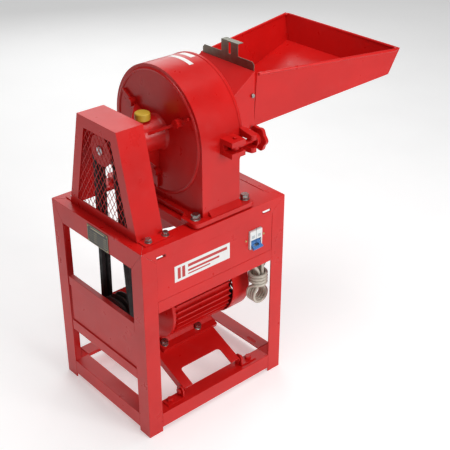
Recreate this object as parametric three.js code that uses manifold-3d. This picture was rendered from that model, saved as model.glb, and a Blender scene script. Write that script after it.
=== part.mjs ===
// Belt-driven hammer mill on an angle-steel stand, with a tray hopper.
// Millimetres. Working axes while building: X along the mill shaft towards the hopper,
// Y from the switch side to the back, Z up, origin at the foot of the front left leg.
// At the end the whole machine is centred over the middle of its own footprint.
import * as THREE from 'three';
import { ConvexGeometry } from 'three/addons/geometries/ConvexGeometry.js';
import { mergeVertices } from 'three/addons/utils/BufferGeometryUtils.js';
import Module from 'manifold-3d';

const wasm = await Module();
wasm.setup();

// ---- driving dimensions -------------------------------------------------------------
const GAP = 0.3; // clearance between touching pieces

const STAND = { length: 400, width: 329, height: 477, steel: 3, leg: 37 };
const TOP_RAIL = { frontFlange: 43, leftFlange: 38, rightFlange: 23, longWeb: 33, sideWeb: 48 };
const BOTTOM_RAIL = { low: 11, high: 49, flange: 36.7 };
const APRON = { railLow: 320, railHigh: 348, sheet: 1.5, setBack: 0.6 };
const SIDE_COVER = { low: 146, foldLow: 172, foldHigh: 270, high: 293, sheet: 1.5, recess: 3 };

const MILL = {
  y: STAND.width / 2,
  z: 640,
  radius: 146.5,
  back: 175.6,
  front: 279,
  wall: 7,
  base: { xLow: 143.5, xHigh: 312, yLow: 3.5, zLow: 480, zHigh: 490 },
};
const COVER = { thick: 10, radius: 147.5 };
const BARREL = { radius: 36, start: 76, bore: 26.3 };
const SHAFT = { radius: 12.3, pulleyRadius: 9.5, start: 26, end: 226 };
const ROTOR = { radius: 104, back: 205, front: 215 };

const BELT = { width: 12.4, thick: 8, pitch: 15, centre: 46.4 };
const MILL_PULLEY = { radius: 35, bore: 9.8 };
const MOTOR_PULLEY = { radius: 55, bore: 12.3 };
const PULLEY_WIDTH = 35;

const CLAMP = {
  x: 248,
  y: -1,
  z: 640,
  pin: 6,
  rod: 6,
  thread: 5,
  nutBore: 6.6,
  nutX: 309.6,
  discRadius: 27.5,
};
const HINGE = { x: 283, y: MILL.y + 166, pin: 5 };

const GATE = { x: 374.6, thick: 1.5, low: 624.5, top: 768.5 };
const CHUTE = { halfWidth: 88, low: 624, high: 750, doorHigh: 692, doorLow: 612, sheet: 2 };
const HOPPER = {
  start: 376.4,
  end: 735,
  floorEnd: 725,
  rimZ: 747,
  throatHalf: 92,
  rimHalf: 186,
  floorHalfStart: 84,
  floorHalfEnd: 167,
  floorStartZ: 622,
  floorEndZ: 681,
  sheet: 2,
  rim: 6,
};

const GUARD = {
  x: 22.5,
  back: 89.5,
  low: STAND.height + GAP,
  high: 703,
  lowHalf: 121.5,
  highHalf: 68,
  sheet: 2,
  foot: 24,
};

const PLATE = {
  tilt: (23 * Math.PI) / 180,
  pivotY: 22,
  pivotZ: 66,
  low: 6.1,
  thick: 3,
  xLow: 111,
  xHigh: 281,
  front: -4,
  rear: 300,
  arm: 26,
  cut: 44,
  side: 18,
};
const MOTOR = {
  u: 183.4,
  w: 99.4,
  bodyRadius: 78,
  finRadius: 87,
  bodyStart: 135,
  bodyEnd: 300,
  shieldStart: 100,
  cowlStart: 303,
  cowlEnd: 366,
  cowlRadius: 90,
  footHalf: 70,
  shaftRadius: 12,
};

const BREAKER = { xLow: 293, xHigh: 329, zLow: 376, zHigh: 420 };
const TOGGLE = { y: 3.2, z: 387.5, hub: 5.4, reach: 17, angle: 35 };
const BOX = { xLow: 286, xHigh: 362.5, yHigh: 62, zLow: 368, zHigh: 432, wall: 2 };
const CORD = { radius: 3.5, x: 348, y: 15, glandLow: 360, reliefLow: 339 };
const HANK = { x: 350, top: 338.6, low: 198, halfWidth: 24.5, yLow: 11.5, yHigh: 49 };
const PLUG = { y: 68, z: 345, cableEnd: 300, radius: 18 };

// ---- materials ----------------------------------------------------------------------
const finish = (color, roughness, metalness) => ({ color, roughness, metalness });
const ENAMEL = finish(0xc8181c, 0.32, 0.1);
const STEEL = finish(0x9a9ca0, 0.35, 0.9);
const ZINC = finish(0xb9bbb6, 0.3, 0.9);
const GALVANISED = finish(0x7d8072, 0.45, 0.8);
const RUBBER = finish(0x0c0c0d, 0.75, 0);
const CAST_IRON = finish(0x2a2523, 0.6, 0.6);
const YELLOW = finish(0xc9a21e, 0.45, 0);
const WHITE = finish(0xe9e9e6, 0.4, 0);
const BLUE = finish(0x2c62b4, 0.4, 0);
const BLACK = finish(0x131313, 0.5, 0);
const GREY_PVC = finish(0xb9b1a4, 0.5, 0);

// ---- solid helpers ------------------------------------------------------------------
function toSolid(geometry) {
  const bare = geometry.clone();
  bare.deleteAttribute('normal');
  bare.deleteAttribute('uv');
  const merged = mergeVertices(bare, 1e-4);
  return new wasm.Manifold(
    new wasm.Mesh({
      numProp: 3,
      vertProperties: new Float32Array(merged.attributes.position.array),
      triVerts: new Uint32Array(merged.index.array),
    }),
  );
}

function toGeometry(solid) {
  const mesh = solid.getMesh();
  const geometry = new THREE.BufferGeometry();
  geometry.setAttribute('position', new THREE.BufferAttribute(mesh.vertProperties, 3));
  geometry.setIndex(new THREE.BufferAttribute(mesh.triVerts, 1));
  geometry.computeVertexNormals();
  return geometry;
}

const join = (...shapes) => toGeometry(shapes.map(toSolid).reduce((a, b) => a.add(b)));
const cut = (base, ...tools) =>
  toGeometry(tools.map(toSolid).reduce((a, b) => a.subtract(b), toSolid(base)));
const common = (base, ...tools) =>
  toGeometry(tools.map(toSolid).reduce((a, b) => a.intersect(b), toSolid(base)));

function box(x0, y0, z0, x1, y1, z1) {
  const geometry = new THREE.BoxGeometry(x1 - x0, y1 - y0, z1 - z0);
  return geometry.translate((x0 + x1) / 2, (y0 + y1) / 2, (z0 + z1) / 2);
}

// Flat outline [[a, b], ...] pushed from low to high along an axis.
// Along x the outline is (y, z), along y it is (x, z), along z it is (x, y).
function prism(axis, outline, low, high, holes = []) {
  const mirror = axis === 'y' ? -1 : 1;
  const shape = new THREE.Shape(outline.map(([a, b]) => new THREE.Vector2(a, b * mirror)));
  for (const hole of holes) {
    shape.holes.push(new THREE.Path(hole.map(([a, b]) => new THREE.Vector2(a, b * mirror))));
  }
  const geometry = new THREE.ExtrudeGeometry(shape, { depth: high - low, bevelEnabled: false });
  geometry.translate(0, 0, low);
  if (axis === 'x') {
    geometry.rotateX(Math.PI / 2);
    geometry.rotateZ(Math.PI / 2);
  }
  if (axis === 'y') {
    geometry.rotateX(-Math.PI / 2);
  }
  return geometry;
}

// Solid of revolution from a profile [[radius, along], ...] about an axis through (a, b).
function turned(axis, profile, a, b, segments = 40) {
  const points = profile.map(([radius, along]) => new THREE.Vector2(radius, along));
  const geometry = new THREE.LatheGeometry(points, segments);
  if (axis === 'x') {
    geometry.rotateZ(-Math.PI / 2);
    return geometry.translate(0, a, b);
  }
  if (axis === 'z') {
    geometry.rotateX(Math.PI / 2);
    return geometry.translate(a, b, 0);
  }
  return geometry.translate(a, 0, b);
}

const rod = (axis, radius, low, high, a, b, segments = 24) =>
  turned(axis, [[0, low], [radius, low], [radius, high], [0, high]], a, b, segments);

const ring = (axis, inner, outer, low, high, a, b, segments = 48) =>
  turned(
    axis,
    [[inner, low], [outer, low], [outer, high], [inner, high], [inner, low]],
    a,
    b,
    segments,
  );

// Points of an arc from one angle to another, in degrees.
function arc(cx, cy, radius, from, to, steps) {
  return Array.from({ length: steps + 1 }, (_, i) => {
    const angle = THREE.MathUtils.degToRad(from + ((to - from) * i) / steps);
    return [cx + radius * Math.cos(angle), cy + radius * Math.sin(angle)];
  });
}

// The same solid on the other side of the plane axis = at.
function mirrored(geometry, axis, at) {
  const flipped = geometry.index ? geometry.toNonIndexed() : geometry.clone();
  const position = flipped.attributes.position;
  const get = { x: 'getX', y: 'getY', z: 'getZ' }[axis];
  const set = { x: 'setX', y: 'setY', z: 'setZ' }[axis];
  for (let i = 0; i < position.count; i += 1) {
    position[set](i, 2 * at - position[get](i));
  }
  const corner = new THREE.Vector3();
  const other = new THREE.Vector3();
  for (let i = 0; i < position.count; i += 3) {
    corner.fromBufferAttribute(position, i + 1);
    other.fromBufferAttribute(position, i + 2);
    position.setXYZ(i + 1, other.x, other.y, other.z);
    position.setXYZ(i + 2, corner.x, corner.y, corner.z);
  }
  flipped.deleteAttribute('normal');
  flipped.deleteAttribute('uv');
  return mergeVertices(flipped, 1e-4);
}

// ---- scene graph --------------------------------------------------------------------
const mill = new THREE.Group();
const motorPlateGroup = new THREE.Group();
motorPlateGroup.position.set(0, PLATE.pivotY, PLATE.pivotZ);
motorPlateGroup.rotation.x = PLATE.tilt;
mill.add(motorPlateGroup);

function addPart(name, geometry, look, parent = mill) {
  const mesh = new THREE.Mesh(geometry, new THREE.MeshStandardMaterial(look));
  mesh.name = name;
  parent.add(mesh);
  return mesh;
}

const midY = STAND.width / 2;
const midX = STAND.length / 2;

// ---- stand --------------------------------------------------------------------------
const FAR = 80; // reach of the mitre tools past the steel

function buildTopRails() {
  const { length, width, height, steel, leg } = STAND;
  const { frontFlange, leftFlange, rightFlange, longWeb, sideWeb } = TOP_RAIL;
  const frontAngle = join(
    box(0, 0, height - steel, length, frontFlange, height),
    box(0, 0, height - longWeb, length, steel, height),
  );
  const planCut = prism(
    'z',
    [
      [GAP, 0],
      [length - GAP, 0],
      [length - GAP - (FAR * rightFlange) / frontFlange, FAR],
      [GAP + (FAR * leftFlange) / frontFlange, FAR],
    ],
    0,
    height + 1,
  );
  const faceCut = prism(
    'y',
    [
      [GAP, height],
      [length - GAP, height],
      [length - GAP - (FAR * leg) / longWeb, height - FAR],
      [GAP + (FAR * leg) / longWeb, height - FAR],
    ],
    -1,
    FAR,
  );
  const slots = [37.6 + 12, length - 55.5].map((x) =>
    box(x - 12, -1, height - 26.5, x + 12, steel + 1, height - 20),
  );
  const front = cut(common(frontAngle, planCut, faceCut), ...slots);
  addPart('top_rail_front', front, ENAMEL);
  addPart('top_rail_back', mirrored(front, 'y', midY), ENAMEL);

  const side = (flange) => {
    const angle = join(
      box(0, 0, height - steel, flange, width, height),
      box(0, 0, height - sideWeb, steel, width, height),
    );
    const plan = prism(
      'z',
      [
        [0, GAP],
        [FAR, GAP + (FAR * frontFlange) / flange],
        [FAR, width - GAP - (FAR * frontFlange) / flange],
        [0, width - GAP],
      ],
      0,
      height + 1,
    );
    const face = prism(
      'x',
      [
        [GAP, height],
        [GAP + (FAR * leg) / sideWeb, height - FAR],
        [width - GAP - (FAR * leg) / sideWeb, height - FAR],
        [width - GAP, height],
      ],
      -1,
      FAR,
    );
    return common(angle, plan, face);
  };
  const beltNotch = box(27, 92, height - 10, 60, 224, height + 10);
  addPart('top_rail_left', cut(side(leftFlange), beltNotch), ENAMEL);
  addPart('top_rail_right', mirrored(side(rightFlange), 'x', midX), ENAMEL);
}

function buildLegs() {
  const { height, steel, leg } = STAND;
  const { longWeb, sideWeb } = TOP_RAIL;
  const angle = join(box(0, 0, 0, leg, steel, height), box(0, 0, 0, steel, leg, height));
  const faceCut = prism(
    'y',
    [[0, 0], [FAR, 0], [FAR, height - (FAR * longWeb) / leg], [0, height]],
    -1,
    FAR,
  );
  const sideCut = prism(
    'x',
    [[0, 0], [FAR, 0], [FAR, height - (FAR * sideWeb) / leg], [0, height]],
    -1,
    FAR,
  );
  const frontLeft = common(angle, faceCut, sideCut);
  const frontRight = mirrored(frontLeft, 'x', midX);
  addPart('leg_front_left', frontLeft, ENAMEL);
  addPart('leg_front_right', frontRight, ENAMEL);
  addPart('leg_back_left', mirrored(frontLeft, 'y', midY), ENAMEL);
  addPart('leg_back_right', mirrored(frontRight, 'y', midY), ENAMEL);
}

function buildBottomRails() {
  const { length, width, steel, leg } = STAND;
  const { low, high, flange } = BOTTOM_RAIL;
  const clear = leg + GAP;
  const front = join(
    box(clear, 0, low, length - clear, steel, high),
    box(clear, 0, high - steel, length - clear, flange, high),
  );
  addPart('bottom_rail_front', front, ENAMEL);
  addPart('bottom_rail_back', mirrored(front, 'y', midY), ENAMEL);
  const left = join(
    box(0, clear, low, steel, width - clear, high),
    box(0, clear, high - steel, flange, width - clear, high),
  );
  const slot = prism('z', [...arc(375, 62, 4.5, 180, 360, 8), ...arc(375, 84, 4.5, 0, 180, 8)],
    high - steel - 1, high + 1);
  addPart('bottom_rail_left', left, ENAMEL);
  addPart('bottom_rail_right', cut(mirrored(left, 'x', midX), slot), ENAMEL);
}

function buildPanels() {
  const { length, width, height, steel, leg } = STAND;
  const { railLow, railHigh, sheet, setBack } = APRON;
  const clear = leg + GAP;
  const panelTop = height - TOP_RAIL.longWeb - GAP;
  const apron = cut(
    box(clear, setBack, railHigh + GAP, length - clear, setBack + sheet, panelTop),
    box(BREAKER.xLow - 1, -1, BREAKER.zLow - 1, BREAKER.xHigh + 1, 5, BREAKER.zHigh + 1),
  );
  addPart('apron_panel', apron, ENAMEL);
  addPart(
    'apron_lower_rail',
    join(
      box(clear, 0, railLow, length - clear, sheet, railHigh),
      box(clear, 0, railHigh - sheet, length - clear, 6, railHigh),
    ),
    ENAMEL,
  );

  const { low, foldLow, foldHigh, high, recess } = SIDE_COVER;
  const t = SIDE_COVER.sheet;
  const lip = 12;
  const cover = prism(
    'y',
    [
      [0, low],
      [t, low],
      [t, foldLow - 1],
      [recess + t, foldLow + 1],
      [recess + t, foldHigh - 1],
      [t, foldHigh + 1],
      [t, high - t],
      [lip, high - t],
      [lip, high],
      [0, high],
      [0, foldHigh],
      [recess, foldHigh - 2],
      [recess, foldLow + 2],
      [0, foldLow],
    ],
    clear,
    width - clear - 5,
  );
  addPart('side_cover_panel', cover, ENAMEL);

  const crossX = 150;
  const inner = TOP_RAIL.frontFlange + GAP;
  addPart(
    'mill_cross_rail',
    join(
      box(crossX, inner, height - 25, crossX + steel, width - inner, height),
      box(crossX, inner, height - steel, crossX + 22, width - inner, height),
    ),
    ENAMEL,
  );
  const deckEnd = length - TOP_RAIL.rightFlange - GAP;
  const deck = box(crossX + 22 + GAP, inner, height - 3, deckEnd, width - inner, height - 1);
  const opening = box(186, 62, 0, 272, width - 62, height + 5);
  addPart('deck_sheet', cut(deck, opening), ENAMEL);
}

// ---- mill housing -------------------------------------------------------------------
// Outline of the housing across the shaft: round on top, straight sides down to the base.
const archOutline = (radius, low) => [
  [MILL.y - radius, low],
  [MILL.y + radius, low],
  ...arc(MILL.y, MILL.z, radius, 0, 180, 48),
];

function buildHousing() {
  const { y, z, radius, back, front, wall, base } = MILL;
  const archBase = base.zHigh - 2;
  const shell = prism('x', archOutline(radius, archBase), back, front);
  const chamber = prism('x', archOutline(radius - wall, archBase + 18), back + 10, front + 1);
  const outlet = box(192, 70, 400, 268, STAND.width - 70, archBase + 20);

  const padLow = base.yLow;
  const padHigh = STAND.width - base.yLow;
  const waist = 20;
  const flange = prism(
    'z',
    [
      ...arc(base.xLow + 12, padLow + 12, 12, 180, 270, 4),
      ...arc(base.xHigh - 12, padLow + 12, 12, 270, 360, 4),
      [base.xHigh, padLow + 46],
      [base.xHigh - waist, padLow + 62],
      [base.xHigh - waist, padHigh - 62],
      [base.xHigh, padHigh - 46],
      ...arc(base.xHigh - 12, padHigh - 12, 12, 0, 90, 4),
      ...arc(base.xLow + 12, padHigh - 12, 12, 90, 180, 4),
      [base.xLow, padHigh - 46],
      [base.xLow + waist, padHigh - 62],
      [base.xLow + waist, padLow + 62],
      [base.xLow, padLow + 46],
    ],
    base.zLow,
    base.zHigh,
  );
  const wedge = prism(
    'x',
    [
      [padLow + 2, base.zHigh - 1],
      [padHigh - 2, base.zHigh - 1],
      [y + radius, base.zHigh + 12],
      [y - radius, base.zHigh + 12],
    ],
    back + 16,
    front,
  );
  const bead = turned(
    'x',
    [
      [132, back + 1],
      [133, back - 1.6],
      [136, back - 3],
      [139, back - 1.6],
      [140, back + 1],
      [132, back + 1],
    ],
    y,
    z,
    72,
  );
  const barrel = rod('x', BARREL.radius, BARREL.start, back + 5, y, z, 48);
  const collar = turned(
    'x',
    [
      [0, back - 10],
      [BARREL.radius - 1, back - 10],
      [BARREL.radius + 2, back - 4],
      [BARREL.radius + 6, back + 1],
      [0, back + 1],
    ],
    y,
    z,
    48,
  );
  const ribs = [30, 150, 270].map((degrees) => {
    const rib = prism(
      'y',
      [
        [118, 30],
        [back + 2, 30],
        [back + 2, 129],
        [back - 7, 129],
        [back - 7, 100],
        [back - 9, 78],
        [149, 60],
        [127, BARREL.radius + 1],
        [118, BARREL.radius - 1],
      ],
      -3,
      3,
    );
    const boss = rod('x', 9.5, back - 15, back + 2, 0, 91, 20);
    const both = join(rib, boss);
    both.rotateX(THREE.MathUtils.degToRad(degrees - 90));
    return both.translate(0, y, z);
  });
  const lugs = buildHousingLugs();
  const skirt = box(189, 67, STAND.height - 2.5, 271, STAND.width - 67, archBase);
  const feet = baseBoltPlaces().map(([fx, fy]) =>
    rod('z', 12, STAND.height + GAP, base.zLow + 1, fx, fy, 24),
  );
  const solid = join(shell, skirt, ...feet, flange, wedge, bead, barrel, collar, ...ribs, ...lugs.add);
  const bore = rod('x', BARREL.bore, BARREL.start - 1, 168, y, z, 40);
  const shaftHole = rod('x', SHAFT.radius + 2, 160, back + 12, y, z, 32);
  const capHole = rod('z', 5.3, z + 20, z + 60, 138, y, 20);
  const boltHoles = baseBoltPlaces().map(([bx, by]) => rod('z', 5.3, 470, 500, bx, by, 20));
  addPart(
    'mill_housing',
    cut(solid, chamber, outlet, bore, shaftHole, capHole, ...boltHoles, ...lugs.remove),
    ENAMEL,
  );
}

function baseBoltPlaces() {
  const near = 26;
  return [
    [163, near],
    [302, near],
    [163, STAND.width - near],
    [302, STAND.width - near],
  ];
}

// Fork lug for the eye bolt on the near side, two knuckles for the cover hinge at the back.
function buildHousingLugs() {
  const { x, y, z, pin } = CLAMP;
  const wallY = MILL.y - MILL.radius;
  const forkLug = box(226, -17, z - 18, 263, wallY + 6, z + 18);
  const slot = box(x - 30, -30, z - 7, 280, wallY - 8, z + 7);
  const pinHole = rod('z', pin / 2 + GAP, z - 30, z + 30, x, y, 20);
  const farWall = MILL.y + MILL.radius;
  const knuckles = [z + 48, z - 78].map((low) =>
    join(
      box(255, farWall - 34, low, 276.6, HINGE.y, low + 30),
      box(262, HINGE.y - 12, low, HINGE.x, HINGE.y, low + 30),
      rod('z', 10, low, low + 30, HINGE.x, HINGE.y, 24),
    ),
  );
  const hingeBore = rod('z', HINGE.pin + GAP, z - 90, z + 90, HINGE.x, HINGE.y, 20);
  return { add: [forkLug, ...knuckles], remove: [slot, pinHole, hingeBore] };
}

// ---- shaft, bearings, rotor, sieve --------------------------------------------------
function buildRotatingGroup() {
  const { y, z } = MILL;
  addPart(
    'mill_shaft',
    turned(
      'x',
      [
        [0, SHAFT.start],
        [SHAFT.pulleyRadius, SHAFT.start],
        [SHAFT.pulleyRadius, 66],
        [SHAFT.radius, 66],
        [SHAFT.radius, SHAFT.end],
        [0, SHAFT.end],
      ],
      y,
      z,
      32,
    ),
    STEEL,
  );
  for (const [name, start] of [['bearing_outer', 84], ['bearing_inner', 150]]) {
    addPart(name, ring('x', SHAFT.radius + GAP, BARREL.bore - GAP, start, start + 15, y, z, 40), STEEL);
  }
  addPart(
    'bearing_cap',
    turned(
      'x',
      [
        [SHAFT.radius + 2, 68],
        [BARREL.radius, 68],
        [BARREL.radius, 76 - GAP],
        [BARREL.bore - GAP, 76 - GAP],
        [BARREL.bore - GAP, 82],
        [SHAFT.radius + 2, 82],
        [SHAFT.radius + 2, 68],
      ],
      y,
      z,
      40,
    ),
    ENAMEL,
  );

  const disc = ring('x', SHAFT.radius + GAP, ROTOR.radius, ROTOR.back, ROTOR.front, y, z, 48);
  const hub = ring('x', SHAFT.radius + GAP, 26, 190, ROTOR.back + 1, y, z, 32);
  const hammers = Array.from({ length: 12 }, (_, i) => {
    const hammer = box(ROTOR.front - 1, -8, 80, 262, 8, ROTOR.radius);
    hammer.rotateX((i * Math.PI) / 6);
    return hammer.translate(0, y, z);
  });
  const teeth = Array.from({ length: 8 }, (_, i) => {
    const tooth = box(ROTOR.front - 1, -5, 42, 246, 5, 52);
    tooth.rotateX((i * Math.PI) / 4);
    return tooth.translate(0, y, z);
  });
  addPart('rotor', join(disc, hub, ...hammers, ...teeth), STEEL);
  const sieve = ring('x', 122, 124, 190, 274, y, z, 72);
  const slots = Array.from({ length: 15 }, (_, i) => {
    const slot = box(202, -2.5, -128, 262, 2.5, -118);
    slot.rotateX(THREE.MathUtils.degToRad(-84 + i * 12));
    return slot.translate(0, y, z);
  });
  addPart('sieve_ring', cut(sieve, ...slots), STEEL);

  addPart('mill_pulley', pulley(MILL_PULLEY.radius, MILL_PULLEY.bore, y, z), CAST_IRON);
  addPart('oil_cap', oilCap(), YELLOW);
}

function turnedHex(axis, acrossCorners, low, high, a, b) {
  return turned(axis, [[0, low], [acrossCorners, low], [acrossCorners, high], [0, high]], a, b, 6);
}

// Two-groove belt pulley about an axis along X.
function pulley(radius, bore, a, b) {
  const low = BELT.centre - PULLEY_WIDTH / 2;
  const high = BELT.centre + PULLEY_WIDTH / 2;
  const half = BELT.width / 2 + GAP;
  const depth = 9.6;
  const grooves = [-1, 1].flatMap((side) => {
    const centre = BELT.centre + (side * BELT.pitch) / 2;
    return [
      [radius, centre - half - 0.2],
      [radius - depth, centre - half],
      [radius - depth, centre + half],
      [radius, centre + half + 0.2],
    ];
  });
  const outline = [[bore, low], [radius, low], ...grooves, [radius, high], [bore, high], [bore, low]];
  return turned('x', outline, a, b, 48);
}

function oilCap() {
  const top = MILL.z + 54;
  const seat = MILL.z + BARREL.radius + GAP;
  return turned(
    'z',
    [
      [0, seat - 12],
      [4.8, seat - 12],
      [4.8, seat],
      [10, seat],
      [10, seat + 1.5],
      [16, seat + 1.5],
      [17, seat + 3],
      [16.6, top - 2],
      [15, top],
      [0, top],
    ],
    138,
    MILL.y,
    32,
  );
}

// ---- front cover, chute, gate, hopper ----------------------------------------------
function buildCover() {
  const { y, z } = MILL;
  const low = MILL.front + GAP;
  const high = low + COVER.thick;
  const disc = turned(
    'x',
    [
      [0, low],
      [COVER.radius - 2, low],
      [COVER.radius, low + 2],
      [COVER.radius, high - 3],
      [COVER.radius - 3, high],
      [0, high],
    ],
    y,
    z,
    96,
  );
  const lip = ring('x', 128, 134, low - 8, low + 1, y, z, 72);
  const teeth = Array.from({ length: 10 }, (_, i) => {
    const tooth = box(232, -4.5, 62, low + 1, 4.5, 70);
    tooth.rotateX((i * Math.PI) / 5);
    return tooth.translate(0, y, z);
  });
  const inlet = box(low - 2, y - 62, 616, high + 1, y + 62, 688);
  const rootY = y - COVER.radius + 24;
  const tipY = -20;
  const hornPlan = prism(
    'z',
    [
      [low, rootY],
      [low, tipY + 3],
      [low + 3, tipY],
      [291, tipY],
      [296.4, tipY + 6],
      [296.4, 8],
      [high - 1, 18],
      [high - 1, rootY],
    ],
    z - 50,
    z + 50,
  );
  // Each horn is deepest at the cover and slopes down to its tip.
  const horns = [1, -1].map((side) => {
    const near = CLAMP.z + side * 8.5;
    const profile = [
      [rootY + 1, near],
      [rootY + 1, CLAMP.z + side * 33],
      [8, CLAMP.z + side * 23],
      [tipY - 1, CLAMP.z + side * 19],
      [tipY - 1, near],
    ];
    return common(hornPlan, prism('x', profile, low - 1, high + 20));
  });
  const knuckle = join(
    box(low, y + COVER.radius - 14, z - 46, high, HINGE.y, z + 46),
    rod('z', 10, z - 46, z + 46, HINGE.x, HINGE.y, 24),
  );
  const hingeBore = rod('z', HINGE.pin + GAP, z - 90, z + 90, HINGE.x, HINGE.y, 20);
  addPart(
    'front_cover',
    cut(join(disc, lip, ...teeth, ...horns, knuckle), inlet, hingeBore),
    ENAMEL,
  );
  addPart('cover_hinge_pin', hingePin(), STEEL);

  const start = high + GAP;
  const end = GATE.x - GAP;
  const outside = [[start, CHUTE.doorLow], [end, CHUTE.low - 2], [end, CHUTE.high], [start, CHUTE.doorHigh]];
  const t = CHUTE.sheet;
  const inside = [
    [start - 1, CHUTE.doorLow + t],
    [end + 1, CHUTE.low - 2 + t],
    [end + 1, CHUTE.high - t],
    [start - 1, CHUTE.doorHigh - t],
  ];
  addPart(
    'feed_chute',
    cut(
      prism('y', outside, y - CHUTE.halfWidth, y + CHUTE.halfWidth),
      prism('y', inside, y - CHUTE.halfWidth + t, y + CHUTE.halfWidth - t),
    ),
    ENAMEL,
  );

  const blade = prism(
    'x',
    [
      [y - 84, GATE.low],
      [y + 84, GATE.low],
      [y + 84, GATE.top - 6],
      [y + 78, GATE.top],
      [186, GATE.top],
      [186, 796],
      [132, 796],
      [132, GATE.top],
      [y - 78, GATE.top],
      [y - 84, GATE.top - 6],
    ],
    GATE.x,
    GATE.x + GATE.thick,
    [[[155, 767.6], [163, 767.6], [163, 793], [155, 793]]],
  );
  const hook = box(GATE.x, 132, 796 - GATE.thick, GATE.x + 16, 186, 796);
  addPart('slide_gate', join(blade, hook), GALVANISED);
}

function hingePin() {
  const { z } = MILL;
  return join(
    rod('z', HINGE.pin, z - 84, z + 84, HINGE.x, HINGE.y, 20),
    rod('z', HINGE.pin + 4, z + 78 + GAP, z + 84, HINGE.x, HINGE.y, 20),
  );
}

// The tray is a frustum-like trough: floor rising and widening away from the mill.
function hopperShell(offset) {
  const h = HOPPER;
  const t = h.sheet * offset;
  const y = MILL.y;
  const corners = [
    [h.start - offset, y - h.floorHalfStart + t, h.floorStartZ + t],
    [h.floorEnd - t, y - h.floorHalfEnd + t, h.floorEndZ + t],
    [h.floorEnd - t, y + h.floorHalfEnd - t, h.floorEndZ + t],
    [h.start - offset, y + h.floorHalfStart - t, h.floorStartZ + t],
    [h.start - offset, y - h.throatHalf + t, h.rimZ + offset],
    [h.end - t, y - h.rimHalf + t, h.rimZ + offset],
    [h.end - t, y + h.rimHalf - t, h.rimZ + offset],
    [h.start - offset, y + h.throatHalf - t, h.rimZ + offset],
  ];
  return new ConvexGeometry(corners.map((c) => new THREE.Vector3(...c)));
}

function buildHopper() {
  const h = HOPPER;
  const y = MILL.y;
  const tray = cut(hopperShell(0), hopperShell(1));
  const side = Math.hypot(h.end - h.start - 4, h.rimHalf - h.throatHalf);
  const angle = Math.atan2(h.rimHalf - h.throatHalf, h.end - h.start - 4);
  const nearRim = box(0, -h.rim + 1, -h.rim / 2, side, 1, h.rim / 2);
  nearRim.rotateZ(-angle);
  nearRim.translate(h.start + 4, y - h.throatHalf - 0.4, h.rimZ - h.rim / 2 + 0.6);
  const farRim = mirrored(nearRim, 'y', y);
  const rimTop = h.rimZ + 0.6;
  const endRim = box(
    h.end - 1.2,
    y - h.rimHalf - 4.4,
    rimTop - h.rim - 0.2,
    h.end + h.rim - 1,
    y + h.rimHalf + 4.4,
    rimTop + 0.2,
  );
  const saddle = prism(
    'y',
    [[350, 616.6], [384, 620.6], [384, 624.2], [377, 623], [375.9, 621], [350, 618.3]],
    y - 80,
    y + 80,
  );
  addPart('hopper_tray', join(tray, nearRim, farRim, endRim, saddle), ENAMEL);
}

// ---- clamp --------------------------------------------------------------------------
function buildClamp() {
  const { x, y, z, pin, rod: shank, thread, nutBore, nutX, discRadius } = CLAMP;
  addPart(
    'clamp_pin',
    join(rod('z', pin / 2, z - 20, z + 20, x, y, 16), rod('z', 5, z + 18 + GAP, z + 22, x, y, 16)),
    ENAMEL,
  );
  addPart(
    'eye_bolt',
    cut(
      join(
        rod('z', 9, z - 5.5, z + 5.5, x, y, 24),
        rod('x', shank, x + 6, 297, y, z, 20),
        rod('x', thread, 296, nutX + 10, y, z, 20),
      ),
      rod('z', pin / 2 + GAP, z - 20, z + 20, x, y, 16),
    ),
    ENAMEL,
  );
  addPart('clamp_washer', ring('x', nutBore, 16, 297.6, 300.4, y, z, 24), ENAMEL);
  const wavy = Array.from({ length: 48 }, (_, i) => {
    const angle = (i * Math.PI) / 24;
    const radius = discRadius - 2 + 2 * Math.cos(6 * angle);
    return [y + radius * Math.cos(angle), z + radius * Math.sin(angle)];
  });
  addPart(
    'hand_nut',
    cut(
      join(rod('x', 13, 300.7, nutX + 1, y, z, 28), prism('x', wavy, nutX, nutX + 8)),
      rod('x', nutBore, 290, 330, y, z, 20),
    ),
    ENAMEL,
  );
}

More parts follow.
